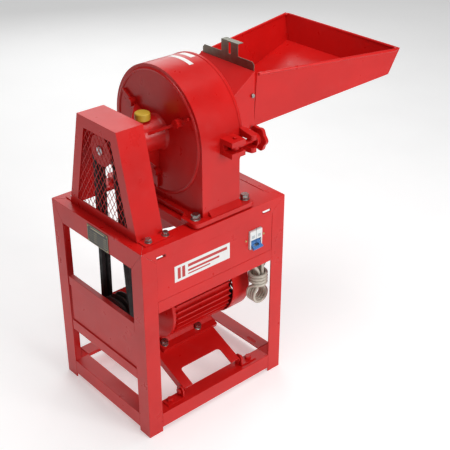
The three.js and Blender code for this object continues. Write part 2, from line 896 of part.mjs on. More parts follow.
// ---- belt guard ---------------------------------------------------------------------
function buildGuard() {
  const g = GUARD;
  const y = midY;
  const trapezoid = (inset, low, high) => [
    [y - g.lowHalf + inset, low],
    [y + g.lowHalf - inset, low],
    [y + g.highHalf - inset, high],
    [y - g.highHalf + inset, high],
  ];
  const halfAt = (z) => g.lowHalf + ((g.highHalf - g.lowHalf) * (z - g.low)) / (g.high - g.low);
  const windowLow = g.low + 21;
  const windowHigh = g.high - 26;
  const window = [
    [y - halfAt(windowLow) + 26, windowLow],
    [y + halfAt(windowLow) - 26, windowLow],
    [y + halfAt(windowHigh) - 27, windowHigh],
    [y - halfAt(windowHigh) + 27, windowHigh],
  ];
  const hood = cut(
    prism('x', trapezoid(0, g.low, g.high), g.x, g.back),
    prism('x', trapezoid(g.sheet, g.low - 1, g.high - g.sheet), g.x + g.sheet, g.back + 1),
    prism('x', window, g.x - 1, g.x + g.sheet + 1),
  );
  const feet = [
    box(25, y - g.lowHalf - g.foot, g.low, 97, y - g.lowHalf + 1.5, g.low + g.sheet),
    box(25, y + g.lowHalf - 1.5, g.low, 97, y + g.lowHalf + g.foot, g.low + g.sheet),
  ];
  const holes = guardBoltPlaces().map(([bx, by]) => rod('z', 4.2, g.low - 2, g.low + 5, bx, by, 16));
  addPart('belt_guard', cut(join(hood, ...feet), ...holes), ENAMEL);
  const mesh = [
    [y - halfAt(windowLow) + 20, windowLow - 6],
    [y + halfAt(windowLow) - 20, windowLow - 6],
    [y + halfAt(windowHigh) - 21, windowHigh + 6],
    [y - halfAt(windowHigh) + 21, windowHigh + 6],
  ];
  addPart('guard_mesh', prism('x', mesh, g.x + g.sheet + 0.2, g.x + g.sheet + 1.2), ENAMEL);
}

function guardBoltPlaces() {
  const near = 30;
  return [
    [41, near],
    [85, near],
    [41, STAND.width - near],
    [85, STAND.width - near],
  ];
}

// ---- motor on its hinged plate ------------------------------------------------------
function buildMotorPlate() {
  const p = PLATE;
  const top = p.low + p.thick;
  const group = motorPlateGroup;
  const flat = box(p.xLow, p.front, p.low, p.xHigh, p.rear, top);
  const sides = [p.xLow, p.xHigh - 2.5].map((x) => box(x, p.front - 4, -p.side + 8, x + 2.5, p.rear, top));
  const armX = [p.xLow + p.arm, p.xHigh - p.arm];
  const cutOut = prism(
    'z',
    [
      [armX[0], p.front - 10],
      [armX[1], p.front - 10],
      ...arc(armX[1] - 8, p.cut - 8, 8, 0, 90, 4),
      ...arc(armX[0] + 8, p.cut - 8, 8, 90, 180, 4),
    ],
    -20,
    20,
  );
  const rodSlot = box(188, p.rear - 42, -20, 204, p.rear - 8, 20);
  const pinHoles = rod('x', 4.2, p.xLow - 10, p.xHigh + 10, 0, 0, 16);
  const motorHoles = motorBoltPlaces().map(([x, u]) => rod('z', 5, 0, 20, x, u, 12));
  addPart(
    'motor_plate',
    cut(join(flat, ...sides), cutOut, rodSlot, pinHoles, ...motorHoles),
    ENAMEL,
    group,
  );

  const railTop = BOTTOM_RAIL.high + GAP;
  const ear = (x) =>
    prism(
      'x',
      [[10, railTop], [34, railTop], ...arc(p.pivotY, p.pivotZ, 12, 0, 180, 10)],
      x,
      x + 3,
    );
  const hole = rod('x', 4.2, 80, 320, p.pivotY, p.pivotZ, 16);
  const footHole = (x) => rod('z', 4.4, railTop - 1, railTop + 5, x, p.pivotY, 16);
  addPart(
    'hinge_bracket_left',
    cut(join(ear(105), box(62, 10, railTop, 108, 34, railTop + 3)), hole, footHole(76)),
    ENAMEL,
  );
  addPart(
    'hinge_bracket_right',
    cut(join(ear(284), box(284, 10, railTop, 330, 34, railTop + 3)), hole, footHole(315)),
    ENAMEL,
  );
  for (const [name, low, high, head] of [
    ['hinge_pin_left', 102, 116, 99],
    ['hinge_pin_right', 276, 290, 290],
  ]) {
    addPart(
      name,
      join(
        rod('x', 3.9, low, high, p.pivotY, p.pivotZ, 16),
        rod('x', 6.5, head, head + 3.5, p.pivotY, p.pivotZ, 16),
      ),
      ENAMEL,
    );
  }
  const rodU = p.rear - 22;
  const rodY = p.pivotY + rodU * Math.cos(p.tilt);
  const rodZ = p.pivotZ + rodU * Math.sin(p.tilt);
  addPart('tension_rod', rod('z', 5, BOTTOM_RAIL.high + GAP, rodZ + 45, 196, rodY, 16), ZINC);
}

function motorBoltPlaces() {
  const near = MOTOR.u - MOTOR.footHalf;
  const far = MOTOR.u + MOTOR.footHalf;
  return [
    [138, near],
    [238, near],
    [138, far],
    [238, far],
  ];
}

function buildMotor() {
  const m = MOTOR;
  const group = motorPlateGroup;
  const seat = PLATE.low + PLATE.thick + GAP;
  const body = rod('x', m.bodyRadius, m.bodyStart, m.bodyEnd, m.u, m.w, 48);
  const fins = [];
  for (let degrees = -50; degrees <= 230; degrees += 10) {
    const fin = box(m.bodyStart + 4, -1.4, m.bodyRadius - 3, m.bodyEnd - 2, 1.4, m.finRadius);
    fin.rotateX(THREE.MathUtils.degToRad(degrees - 90));
    fins.push(fin.translate(0, m.u, m.w));
  }
  const feet = [-1, 1].map((side) => {
    const centre = m.u + side * m.footHalf;
    const inner = m.u + side * 34;
    return join(
      box(127, centre - 16, seat, 289, centre + 16, seat + 11),
      prism(
        'x',
        [
          [Math.min(inner, centre), seat],
          [Math.max(inner, centre), seat],
          [Math.max(inner, centre), seat + (side > 0 ? 12 : 34)],
          [Math.min(inner, centre), seat + (side > 0 ? 34 : 12)],
        ],
        137,
        285,
      ),
    );
  });
  const bolts = motorBoltPlaces().map(([x, u]) => rod('z', 5, 0, 60, x, u, 12));
  const hollow = rod('x', m.bodyRadius - 8, m.bodyStart - 1, m.bodyEnd + 1, m.u, m.w, 40);
  const clearBolts = motorBoltPlaces().map(([x, u]) => rod('z', 10, seat + 11, 60, x, u, 16));
  addPart('motor_frame', cut(join(body, ...fins, ...feet), hollow, ...bolts, ...clearBolts), ENAMEL, group);

  addPart(
    'motor_end_shield',
    turned(
      'x',
      [
        [m.shaftRadius + 2, m.shieldStart],
        [34, m.shieldStart],
        [40, m.shieldStart + 8],
        [74, m.shieldStart + 20],
        [86, m.bodyStart - 8],
        [86, m.bodyStart - GAP],
        [m.shaftRadius + 2, m.bodyStart - GAP],
        [m.shaftRadius + 2, m.shieldStart],
      ],
      m.u,
      m.w,
      48,
    ),
    ENAMEL,
    group,
  );
  const cowlOuter = turned(
    'x',
    [
      [0, m.cowlStart],
      [m.cowlRadius, m.cowlStart],
      [m.cowlRadius, m.cowlEnd - 14],
      [m.cowlRadius - 12, m.cowlEnd],
      [0, m.cowlEnd],
    ],
    m.u,
    m.w,
    56,
  );
  const cowlInner = turned(
    'x',
    [
      [0, m.cowlStart - 1],
      [m.cowlRadius - 2, m.cowlStart - 1],
      [m.cowlRadius - 2, m.cowlEnd - 14],
      [m.cowlRadius - 13, m.cowlEnd - 2],
      [0, m.cowlEnd - 2],
    ],
    m.u,
    m.w,
    56,
  );
  const vents = [];
  for (let row = -4; row <= 4; row += 1) {
    const rise = row * 14;
    const half = Math.sqrt(66 ** 2 - rise ** 2);
    const centre = m.w + rise;
    vents.push(box(m.cowlEnd - 6, m.u - half, centre - 3, m.cowlEnd + 4, m.u + half, centre + 3));
  }
  const ribs = [-24, 24].map((du) => {
    const centre = m.u + du;
    return box(m.cowlEnd - 2, centre - 3, m.w - 66, m.cowlEnd, centre + 3, m.w + 66);
  });
  const cowl = join(cut(cowlOuter, cowlInner, ...vents), ...ribs);
  addPart('fan_cowl', cowl, ENAMEL, group);
  const blades = Array.from({ length: 6 }, (_, i) => {
    const blade = box(326, -1.5, 14, 350, 1.5, 66);
    blade.rotateX((i * Math.PI) / 3);
    return blade.translate(0, m.u, m.w);
  });
  const fanHub = rod('x', 20, 322, 352, m.u, m.w, 24);
  const fanDisc = rod('x', 40, 322, 326, m.u, m.w, 32);
  const fanBore = rod('x', m.shaftRadius - 2 + GAP, 300, 360, m.u, m.w, 24);
  addPart('cooling_fan', cut(join(fanHub, fanDisc, ...blades), fanBore), BLACK, group);
  addPart(
    'motor_rotor',
    turned(
      'x',
      [
        [0, 32],
        [m.shaftRadius, 32],
        [m.shaftRadius, 150],
        [52, 150],
        [52, 290],
        [m.shaftRadius - 2, 290],
        [m.shaftRadius - 2, 354],
        [0, 354],
      ],
      m.u,
      m.w,
      32,
    ),
    STEEL,
    group,
  );
  addPart('motor_pulley', pulley(MOTOR_PULLEY.radius, MOTOR_PULLEY.bore, m.u, m.w), CAST_IRON, group);

  const boxSeat = m.w + m.finRadius + GAP;
  addPart(
    'terminal_box',
    join(
      box(160, m.u - 34, boxSeat, 232, m.u + 34, boxSeat + 30),
      box(157, m.u - 37, boxSeat + 29, 235, m.u + 37, boxSeat + 38),
    ),
    ENAMEL,
    group,
  );
}

// ---- belts --------------------------------------------------------------------------
function buildBelts() {
  const cosT = Math.cos(PLATE.tilt);
  const sinT = Math.sin(PLATE.tilt);
  const motorY = PLATE.pivotY + MOTOR.u * cosT - MOTOR.w * sinT;
  const motorZ = PLATE.pivotZ + MOTOR.u * sinT + MOTOR.w * cosT;
  const loop = (proud) => {
    const rTop = MILL_PULLEY.radius + proud;
    const rLow = MOTOR_PULLEY.radius + proud;
    const dy = MILL.y - motorY;
    const dz = MILL.z - motorZ;
    const span = Math.hypot(dy, dz);
    const lean = THREE.MathUtils.radToDeg(Math.atan2(dz, dy));
    const flare = THREE.MathUtils.radToDeg(Math.acos((rLow - rTop) / span));
    return [
      ...arc(MILL.y, MILL.z, rTop, lean - flare, lean + flare, 24),
      ...arc(motorY, motorZ, rLow, lean + flare, lean + 360 - flare, 24),
    ];
  };
  const outer = 1;
  for (const [name, side] of [['belt_outer', -1], ['belt_inner', 1]]) {
    const centre = BELT.centre + (side * BELT.pitch) / 2;
    addPart(
      name,
      prism('x', loop(outer), centre - BELT.width / 2, centre + BELT.width / 2, [loop(outer - BELT.thick)]),
      RUBBER,
    );
  }
}

// ---- electrical ---------------------------------------------------------------------
function buildElectrical() {
  const b = BREAKER;
  const w = BOX.wall;
  const face = APRON.setBack + APRON.sheet + GAP;
  addPart(
    'switch_box',
    cut(
      box(BOX.xLow, face, BOX.zLow, BOX.xHigh, BOX.yHigh, BOX.zHigh),
      box(BOX.xLow + w, face - 1, BOX.zLow + w, BOX.xHigh - w, BOX.yHigh - w, BOX.zHigh - w),
      rod('z', 7.5, BOX.zLow - 1, BOX.zLow + 5, CORD.x, CORD.y, 24),
    ),
    BLACK,
  );
  const nose = box(b.xLow, -4, b.zLow, b.xHigh, 8, b.zHigh);
  const body = box(b.xLow, 6, b.zLow - 5, b.xHigh, 48, b.zHigh + 9);
  const { y: pivotY, z: pivotZ, hub, reach, angle } = TOGGLE;
  const pocket = box(b.xLow + 3, -6, pivotZ - 10, b.xHigh - 3, pivotY + hub + GAP, pivotZ + 10);
  addPart('breaker_body', cut(join(nose, body), pocket), WHITE);
  const middle = (b.xLow + b.xHigh) / 2;
  const levers = [-10, 10].map((dx) => box(middle + dx - 3, -reach, -2.2, middle + dx + 3, 0, 2.2));
  const tieBar = box(b.xLow + 4, -reach - 1, -3, b.xHigh - 4, -reach + 5, 3);
  const lever = join(...levers, tieBar).rotateX(THREE.MathUtils.degToRad(angle));
  lever.translate(0, pivotY, pivotZ);
  const drum = rod('x', hub, b.xLow + 4, b.xHigh - 4, pivotY, pivotZ, 24);
  addPart('breaker_toggle', join(lever, drum), BLUE);

  addPart('cord_gland', cordGland(), BLACK);
  addPart(
    'cord_hank',
    prism(
      'y',
      [
        ...arc(HANK.x, HANK.top - HANK.halfWidth, HANK.halfWidth, 0, 180, 12),
        ...arc(HANK.x, HANK.low + HANK.halfWidth, HANK.halfWidth, 180, 360, 12),
      ],
      HANK.yLow,
      HANK.yHigh,
    ),
    GREY_PVC,
  );
  addPart('power_cord', cordTube(CORD_TAIL, 8), GREY_PVC);
  addPart('mains_plug', mainsPlug(), BLACK);
}

function cordGland() {
  const { x, y, radius, glandLow, reliefLow } = CORD;
  const inside = BOX.zLow + BOX.wall + GAP;
  return join(
    rod('z', 7.2, glandLow + 4, inside + 6, x, y, 20),
    turnedHex('z', 11, inside, inside + 3, x, y),
    turnedHex('z', 12, glandLow, BOX.zLow - GAP, x, y),
    rod('z', 4.7, reliefLow + 1, glandLow + 1, x, y, 20),
    turned('z', [[0, reliefLow], [radius + 1, reliefLow], [7, glandLow + 1], [0, glandLow + 1]], x, y, 20),
  );
}

// The last stretch of the cord, from the back of the hank to the plug.
const CORD_TAIL = [
  [336, 53.2, 291],
  [327, 54.5, 297],
  [321, 57, 308],
  [318, 60, 322],
  [312, 65, 336],
  [307, 67.9, 344.7],
  [PLUG.cableEnd + 3 * GAP, PLUG.y, PLUG.z],
];

function cordTube(points, steps) {
  const path = new THREE.CatmullRomCurve3(points.map((p) => new THREE.Vector3(...p)));
  const section = new THREE.Shape(
    arc(0, 0, CORD.radius, 0, 330, 11).map(([a, b]) => new THREE.Vector2(a, b)),
  );
  return new THREE.ExtrudeGeometry(section, { steps, bevelEnabled: false, extrudePath: path });
}

function mainsPlug() {
  const { y, z, cableEnd, radius } = PLUG;
  const body = turned(
    'x',
    [
      [0, cableEnd - 40],
      [radius, cableEnd - 40],
      [radius, cableEnd - 28],
      [radius - 2, cableEnd - 24],
      [8, cableEnd - 14],
      [6, cableEnd],
      [0, cableEnd],
    ],
    y,
    z,
    28,
  );
  const prongs = [-9.5, 9.5].map((dy) => rod('x', 2.4, cableEnd - 59, cableEnd - 39, y + dy, z, 12));
  return join(body, ...prongs);
}

// ---- discharge ----------------------------------------------------------------------
function buildSpout() {
  const sheet = 1.5;
  const top = STAND.height - 3 - GAP;
  const near = 70;
  const far = 259;
  const outer = prism(
    'x',
    [[near, top], [far, top], [far, 462], [320, 364], [266, 340], [near, 454]],
    188,
    270,
  );
  const inner = prism(
    'x',
    [
      [near + sheet, top + 1],
      [far - sheet, top + 1],
      [far - sheet, 461.6],
      [322, 361],
      [265, 335],
      [264, 342.6],
      [near + sheet, 455],
    ],
    188 + sheet,
    270 - sheet,
  );
  addPart('discharge_spout', cut(outer, inner), ENAMEL);
}

buildTopRails();
buildLegs();
buildBottomRails();
buildPanels();
buildHousing();
buildRotatingGroup();
buildCover();
buildHopper();
buildClamp();
buildGuard();
buildMotorPlate();
buildMotor();
buildBelts();
buildElectrical();
buildSpout();

// Centre the machine over its footprint, feet on the floor.
mill.updateMatrixWorld(true);
const extent = new THREE.Box3().setFromObject(mill);
const middle = extent.getCenter(new THREE.Vector3());
mill.position.set(-middle.x, -middle.y, -extent.min.z);

export default mill;
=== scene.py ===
# Belt-driven hammer mill on an angle-steel stand: the visual model, in metres.
# Places are worked out from the frame's own boxes. Helper functions take millimetres
# from the foot of the front left leg: X to the hopper, Y to the back, Z up.
import math

import bmesh
import bpy
from mathutils import Matrix, Vector


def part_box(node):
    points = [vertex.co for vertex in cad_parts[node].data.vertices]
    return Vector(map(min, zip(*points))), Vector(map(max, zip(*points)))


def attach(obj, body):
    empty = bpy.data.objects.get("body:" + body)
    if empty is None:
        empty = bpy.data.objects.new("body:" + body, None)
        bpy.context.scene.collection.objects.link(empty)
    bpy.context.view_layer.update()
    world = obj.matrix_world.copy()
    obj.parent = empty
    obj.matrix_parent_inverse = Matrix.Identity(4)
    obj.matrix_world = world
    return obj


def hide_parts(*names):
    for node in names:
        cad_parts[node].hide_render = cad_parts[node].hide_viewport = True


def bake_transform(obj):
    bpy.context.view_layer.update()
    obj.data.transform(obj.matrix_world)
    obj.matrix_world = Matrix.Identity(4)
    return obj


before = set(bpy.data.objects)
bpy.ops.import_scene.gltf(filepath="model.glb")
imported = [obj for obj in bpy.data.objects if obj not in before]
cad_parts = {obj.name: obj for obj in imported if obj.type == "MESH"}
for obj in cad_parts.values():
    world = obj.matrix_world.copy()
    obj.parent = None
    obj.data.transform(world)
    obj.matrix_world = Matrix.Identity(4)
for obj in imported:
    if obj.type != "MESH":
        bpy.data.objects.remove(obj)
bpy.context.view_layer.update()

ORIGIN = Vector(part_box("leg_front_left")[0])


def at(x, y, z):
    """A point in millimetres from the front left foot, as metres in the row frame."""
    return ORIGIN + Vector((x, y, z)) / 1000


def low(node):
    """Lowest corner of a CAD node, in millimetres from the front left foot."""
    return (Vector(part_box(node)[0]) - ORIGIN) * 1000


def high(node):
    """Highest corner of a CAD node, in millimetres from the front left foot."""
    return (Vector(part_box(node)[1]) - ORIGIN) * 1000


def middle(node):
    """Centre of a CAD node's box, in millimetres from the front left foot."""
    return (low(node) + high(node)) / 2


# ---- camera ----------------------------------------------------------------------------
def make_camera():
    data = bpy.data.cameras.new("camera")
    data.sensor_width = 36
    data.lens = 74.2
    data.clip_start = 0.05
    camera = bpy.data.objects.new("camera", data)
    bpy.context.scene.collection.objects.link(camera)
    yaw, pitch, roll = math.radians(48.54), math.radians(29.35), math.radians(0.06)
    aim = Vector((math.cos(yaw) * math.cos(pitch), math.sin(yaw) * math.cos(pitch), -math.sin(pitch)))
    turn = aim.to_track_quat("-Z", "Y").to_matrix() @ Matrix.Rotation(roll, 3, "Z")
    camera.matrix_world = Matrix.Translation(at(-916.5, -1288.6, 1431.4)) @ turn.to_4x4()
    bpy.context.scene.camera = camera


make_camera()


# ---- materials -------------------------------------------------------------------------
class Nodes:
    """Small builder for one procedural material."""

    def __init__(self, name):
        self.material = bpy.data.materials.new(name)
        self.material.use_nodes = True
        self.tree = self.material.node_tree
        self.shader = self.tree.nodes["Principled BSDF"]
        self.place = self.add("ShaderNodeTexCoord").outputs["Object"]

    def add(self, kind, **settings):
        node = self.tree.nodes.new(kind)
        for key, value in settings.items():
            setattr(node, key, value)
        return node

    def link(self, source, target):
        self.tree.links.new(source, target)

    def noise(self, scale, detail=3.0, rough=0.55, stretch=None):
        node = self.add("ShaderNodeTexNoise")
        node.inputs["Scale"].default_value = scale
        node.inputs["Detail"].default_value = detail
        node.inputs["Roughness"].default_value = rough
        place = self.place
        if stretch:
            mapping = self.add("ShaderNodeMapping")
            mapping.inputs["Scale"].default_value = stretch
            self.link(place, mapping.inputs["Vector"])
            place = mapping.outputs["Vector"]
        self.link(place, node.inputs["Vector"])
        return node.outputs["Fac"]

    def ramp(self, source, stops):
        node = self.add("ShaderNodeValToRGB")
        elements = node.color_ramp.elements
        while len(elements) < len(stops):
            elements.new(0.5)
        for element, (where, colour) in zip(elements, stops):
            element.position = where
            element.color = (*colour, 1)
        self.link(source, node.inputs["Fac"])
        return node.outputs["Color"]

    def mix(self, factor, first, second):
        node = self.add("ShaderNodeMix", data_type="RGBA")
        self.link(factor, node.inputs["Factor"])
        self.link(first, node.inputs["A"])
        self.link(second, node.inputs["B"])
        return node.outputs["Result"]

    def spread(self, source, least, most):
        node = self.add("ShaderNodeMapRange")
        node.inputs["To Min"].default_value = least
        node.inputs["To Max"].default_value = most
        node.inputs["From Min"].default_value = 0.3
        node.inputs["From Max"].default_value = 0.7
        self.link(source, node.inputs["Value"])
        return node.outputs["Result"]

    def bump(self, height, strength, distance, under=None):
        node = self.add("ShaderNodeBump")
        node.inputs["Strength"].default_value = strength
        node.inputs["Distance"].default_value = distance
        self.link(height, node.inputs["Height"])
        if under:
            self.link(under, node.inputs["Normal"])
        return node.outputs["Normal"]

    def done(self, metallic=0.0, coat=0.0, colour=None, roughness=None, normal=None):
        self.shader.inputs["Metallic"].default_value = metallic
        self.shader.inputs["Coat Weight"].default_value = coat
        self.shader.inputs["Coat Roughness"].default_value = 0.12
        if colour:
            self.link(colour, self.shader.inputs["Base Color"])
        if roughness:
            self.link(roughness, self.shader.inputs["Roughness"])
        if normal:
            self.link(normal, self.shader.inputs["Normal"])
        return self.material


def shades(colour, spread):
    """Darker, plain and lighter versions of a colour."""
    return [tuple(min(1, c * (1 + k * spread)) for c in colour) for k in (-1, 0, 1)]


def enamel(name, colour, peel, cast):
    """Sprayed enamel: slow colour drift, dull dusty patches, orange peel, cast grain."""
    n = Nodes(name)
    dark, plain, light = shades(colour, 0.1)
    drift = n.ramp(n.noise(7, 4), [(0.3, dark), (0.52, plain), (0.72, light)])
    dust = n.ramp(n.noise(26, 6, 0.65), [(0.55, (0, 0, 0)), (0.8, (0.08, 0.08, 0.08))])
    pale = n.add("ShaderNodeRGB")
    pale.outputs[0].default_value = (*tuple(0.75 * c + 0.12 for c in colour), 1)
    body = n.mix(dust, drift, pale.outputs[0])
    rough = n.spread(n.noise(34, 3, 0.5), 0.27, 0.36)
    fine = n.bump(n.noise(260, 2), peel, 0.0003)
    grain = n.bump(n.noise(70, 3, 0.5), cast, 0.001, fine)
    n.shader.inputs["Specular IOR Level"].default_value = 0.32
    return n.done(coat=0.05, colour=body, roughness=rough, normal=grain)


def bare_metal(name, colour, stretch, least, most, scratch=0.12):
    """Plated or machined steel with fine directional marks and cloudy tone."""
    n = Nodes(name)
    dark, plain, light = shades(colour, 0.18)
    tone = n.ramp(n.noise(60, 5, 0.6), [(0.3, dark), (0.5, plain), (0.75, light)])
    marks = n.noise(420, 4, 0.7, stretch)
    rough = n.spread(marks, least, most)
    return n.done(metallic=1.0, colour=tone, roughness=rough, normal=n.bump(marks, scratch, 0.0003))


def moulded(name, colour, grain, least, most, drift=0.08):
    """Moulded plastic or rubber with a fine skin texture."""
    n = Nodes(name)
    dark, plain, light = shades(colour, drift)
    tone = n.ramp(n.noise(22, 4), [(0.3, dark), (0.52, plain), (0.75, light)])
    rough = n.spread(n.noise(90, 4), least, most)
    return n.done(colour=tone, roughness=rough, normal=n.bump(n.noise(900, 3), grain, 0.0003))


SHEET_RED = enamel("red_enamel_sheet", (0.62, 0.008, 0.007), 0.012, 0.006)
CAST_RED = enamel("red_enamel_cast", (0.58, 0.007, 0.006), 0.02, 0.18)
STEEL = bare_metal("machined_steel", (0.52, 0.52, 0.53), (1, 1, 8), 0.25, 0.42)
ZINC = bare_metal("zinc_plate", (0.4, 0.4, 0.38), (1, 1, 3), 0.2, 0.4)
GALVANISED = bare_metal("galvanised_sheet", (0.27, 0.27, 0.22), (6, 6, 0.6), 0.34, 0.55, 0.2)
BRASS = bare_metal("brass_screw", (0.52, 0.38, 0.16), (1, 1, 3), 0.25, 0.45)
RUBBER = moulded("belt_rubber", (0.012, 0.012, 0.013), 0.25, 0.55, 0.8, 0.3)
IRON = moulded("dark_cast_iron", (0.032, 0.02, 0.018), 0.35, 0.42, 0.65, 0.35)
YELLOW = moulded("yellow_cap", (0.58, 0.38, 0.03), 0.12, 0.4, 0.6, 0.15)
WHITE = moulded("white_plastic", (0.78, 0.79, 0.78), 0.05, 0.3, 0.45, 0.04)
BLUE = moulded("blue_toggle", (0.06, 0.2, 0.5), 0.05, 0.3, 0.42, 0.06)
BLACK = moulded("black_plastic", (0.014, 0.014, 0.015), 0.15, 0.38, 0.6, 0.2)
CORD_GREY = moulded("cord_sheath", (0.56, 0.51, 0.43), 0.06, 0.4, 0.58, 0.07)
PLATE_BLACK = moulded("nameplate_black", (0.018, 0.016, 0.014), 0.04, 0.25, 0.4, 0.2)
PLATE_GOLD = bare_metal("nameplate_gold", (0.5, 0.44, 0.28), (8, 1, 1), 0.3, 0.45, 0.04)
LABEL_GREY = moulded("label_grey", (0.45, 0.5, 0.52), 0.02, 0.3, 0.4, 0.05)
LABEL_RED = moulded("label_red", (0.5, 0.02, 0.02), 0.02, 0.3, 0.4, 0.05)
LABEL_WHITE = moulded("label_white", (0.8, 0.79, 0.77), 0.02, 0.3, 0.4, 0.03)


# ---- shape helpers ---------------------------------------------------------------------
# An edge that turns by more degrees than this is a real edge
SHARP = 32


def new_object(name, mesh, material, body):
    piece = bpy.data.objects.new(name, mesh)
    bpy.context.scene.collection.objects.link(piece)
    mesh.materials.append(material)
    if body:
        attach(piece, body)
    return piece


def smooth(mesh, degrees):
    """Smooth shading everywhere but over edges sharper than this."""
    mesh.polygons.foreach_set("use_smooth", [True] * len(mesh.polygons))
    mesh.set_sharp_from_angle(angle=math.radians(degrees))


def edge_round(piece, width, segments=2):
    """Rounded edges, width in millimetres, as a modifier."""
    bevel = piece.modifiers.new("edges", "BEVEL")
    bevel.width = width / 1000
    bevel.segments = segments
    bevel.limit_method = "ANGLE"
    bevel.angle_limit = math.radians(SHARP)
    bevel.harden_normals = True
    bevel.use_clamp_overlap = True


def from_points(name, points, faces, material, body, degrees=SHARP):
    """A mesh from points in millimetres, its faces turned outwards."""
    mesh = bpy.data.meshes.new(name)
    mesh.from_pydata([at(*p) for p in points], [], faces)
    work = bmesh.new()
    work.from_mesh(mesh)
    bmesh.ops.remove_doubles(work, verts=work.verts, dist=1e-6)
    bmesh.ops.recalc_face_normals(work, faces=work.faces)
    work.to_mesh(mesh)
    work.free()
    smooth(mesh, degrees)
    return new_object(name, mesh, material, body)


# For each axis, which coordinates hold the first cross value, the second and the one along it
AXES = {"x": (1, 2, 0), "y": (2, 0, 1), "z": (0, 1, 2)}


def along(axis, a, b, c):
    """A point from two cross coordinates and one along an axis."""
    point = [0, 0, 0]
    point[AXES[axis][0]] = a
    point[AXES[axis][1]] = b
    point[AXES[axis][2]] = c
    return point


def turned(name, axis, centre, profile, material, body, segments, closed=False, degrees=SHARP):
    """A solid of revolution: profile is (radius, along) pairs from pole to pole or a closed loop."""
    points, faces = [], []
    rows = len(profile)
    for i in range(segments):
        angle = math.tau * i / segments
        for radius, where in profile:
            spot = along(axis, radius * math.cos(angle), radius * math.sin(angle), where)
            points.append([p + c for p, c in zip(spot, centre)])
    last = rows if closed else rows - 1
    for i in range(segments):
        j = (i + 1) % segments
        for k in range(last):
            m = (k + 1) % rows
            faces.append([i * rows + k, i * rows + m, j * rows + m, j * rows + k])
    return from_points(name, points, faces, material, body, degrees)


def slab(name, axis, outline, start, end, material, body):
    """A flat outline of cross coordinates pushed along an axis."""
    count = len(outline)
    points = [along(axis, a, b, c) for c in (start, end) for a, b in outline]
    faces = [list(range(count))[::-1], list(range(count, 2 * count))]
    faces += [[i, (i + 1) % count, count + (i + 1) % count, count + i] for i in range(count)]
    return from_points(name, points, faces, material, body)


def arc(ca, cb, radius, first, last, steps):
    """Points on an arc about (ca, cb), between two angles in degrees."""
    turn = [math.radians(first + (last - first) * i / steps) for i in range(steps + 1)]
    return [(ca + radius * math.cos(t), cb + radius * math.sin(t)) for t in turn]


def rounded(a0, b0, a1, b1, radius, steps=5):
    """Outline of a rectangle with round corners."""
    return (
        arc(a0 + radius, b0 + radius, radius, 180, 270, steps)
        + arc(a1 - radius, b0 + radius, radius, 270, 360, steps)
        + arc(a1 - radius, b1 - radius, radius, 0, 90, steps)
        + arc(a0 + radius, b1 - radius, radius, 90, 180, steps)
    )


def swept(name, spine, section, material, body, closed=False, degrees=40):
    """A section of (side, up) pairs carried along a spine of (point, side, up) frames."""
    points, faces = [], []
    count = len(section)
    for spot, side, up in spine:
        for a, b in section:
            points.append([p + a * s + b * u for p, s, u in zip(spot, side, up)])
    rings = len(spine)
    for i in range(rings if closed else rings - 1):
        j = (i + 1) % rings
        for k in range(count):
            m = (k + 1) % count
            faces.append([i * count + k, i * count + m, j * count + m, j * count + k])
    if not closed:
        faces.append(list(range(count))[::-1])
        faces.append([(rings - 1) * count + k for k in range(count)])
    return from_points(name, points, faces, material, body, degrees)


def round_bar(name, spots, radius, material, body, sides):
    """A round bar through points."""
    spine = []
    side = None
    for i, spot in enumerate(spots):
        ahead = spots[min(i + 1, len(spots) - 1)]
        behind = spots[max(i - 1, 0)]
        forward = (ahead - behind).normalized()
        if side is None:
            side = forward.orthogonal().normalized()
        side = (side - forward * side.dot(forward)).normalized()
        spine.append((spot, side, forward.cross(side)))
    section = arc(0, 0, radius, 0, 360 * (sides - 1) / sides, sides - 1)
    return swept(name, spine, section, material, body)


def hex_bolt(name, axis, seat, across, material, body, way=1, washer=0.0, tall=0.62, spin=10):
    """A hexagon head or nut with a chamfered crown, on a washer of a radius, on its seat."""
    thick = 1.6 if washer else 0
    height = across * tall
    corner = across / math.sqrt(3)
    points, faces = [], []

    def ring(radii, where, turn=0.0):
        """Points round the axis at even angles, one for each radius."""
        start = len(points)
        for i, r in enumerate(radii):
            angle = math.tau * i / len(radii) + turn
            spot = along(axis, r * math.cos(angle), r * math.sin(angle), where * way)
            points.append([p + c for p, c in zip(spot, seat)])
        return list(range(start, start + len(radii)))

    def closed_by(rings):
        """Walls between rings, with a flat end on the first and on the last."""
        faces.append(rings[0][::-1])
        for first, second in zip(rings, rings[1:]):
            for i, a in enumerate(first):
                j = (i + 1) % len(first)
                faces.append([a, first[j], second[j], second[i]])
        faces.append(rings[-1])

    if washer:
        rounds = ((0.97, 0), (1, 0.3), (1, thick - 0.3), (0.96, thick))
        closed_by([ring([washer * part] * 28, where) for part, where in rounds])
    count = 24
    hexagon = []
    for i in range(count):
        angle = math.tau * i / count % (math.pi / 3) - math.pi / 6
        hexagon.append(corner * math.cos(math.pi / 6) / math.cos(angle))
    crown = [0.93 * min(r, 0.94 * corner) for r in hexagon]
    turn = math.radians(spin)
    levels = ((hexagon, thick), (hexagon, thick + height * 0.8), (crown, thick + height))
    closed_by([ring(radii, where, turn) for radii, where in levels])
    return from_points(name, points, faces, material, body, 25)


